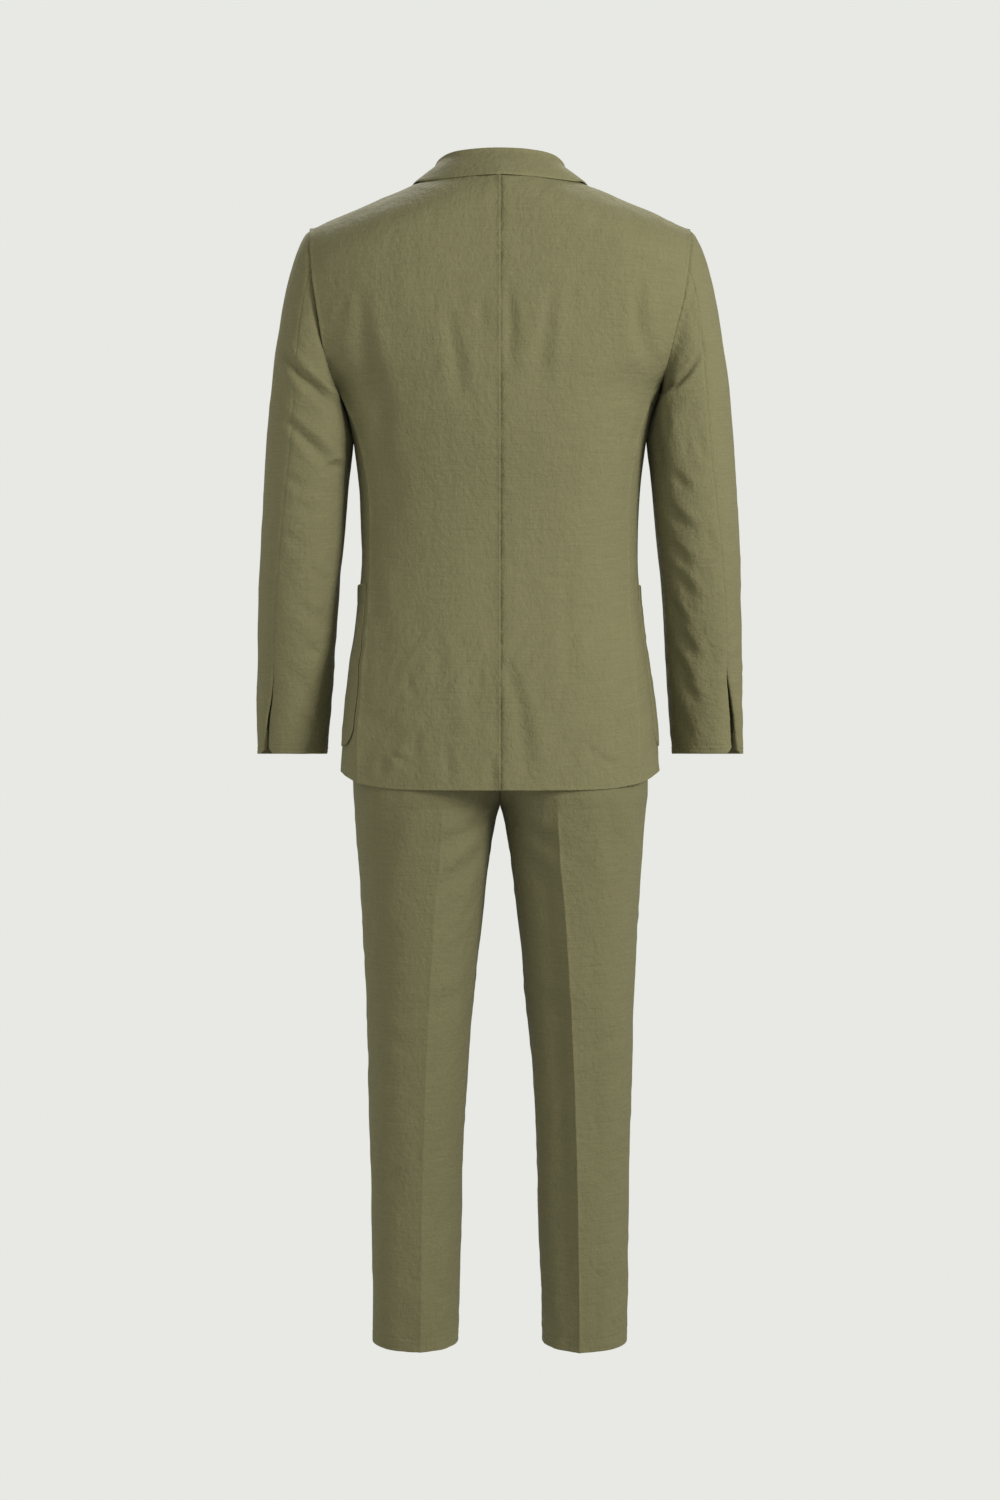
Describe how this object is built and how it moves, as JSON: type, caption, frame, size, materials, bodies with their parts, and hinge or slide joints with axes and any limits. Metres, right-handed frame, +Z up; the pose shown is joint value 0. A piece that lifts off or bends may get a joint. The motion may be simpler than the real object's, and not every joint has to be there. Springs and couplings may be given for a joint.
{
  "type": "two-piece suit",
  "caption": "Single-breasted jacket with notch lapels and patch pockets, over straight trousers, filled out as worn with hollow body, sleeves and legs.",
  "frame": {"origin": "centre of the neck opening, level with the upper ends of the shoulder seams", "axes": "+Z up, the front faces -Y, the wearer's left is +X"},
  "size_m": [0.5852, 0.266, 1.4186],
  "materials": {
    "linen": "matte plain weave",
    "horn": "polished dark brown"
  },
  "bodies": {
    "root": {"back_left": "linen", "back_right": "linen", "side_left": "linen", "side_right": "linen", "front_left": "linen", "front_right": "linen", "pocket_left": "linen", "pocket_right": "linen", "lapel_left": "linen", "lapel_right": "linen", "collar": "linen", "upper_sleeve_left": "linen", "upper_sleeve_right": "linen", "under_sleeve_left": "linen", "under_sleeve_right": "linen", "leg_back_left": "linen", "leg_back_right": "linen", "leg_front_left": "linen", "leg_front_right": "linen", "waistband_left": "linen", "waistband_right": "linen", "fly": "linen", "waist_button": "horn", "jacket_button_upper": "horn", "jacket_button_lower": "horn"}
  },
  "joints": []
}
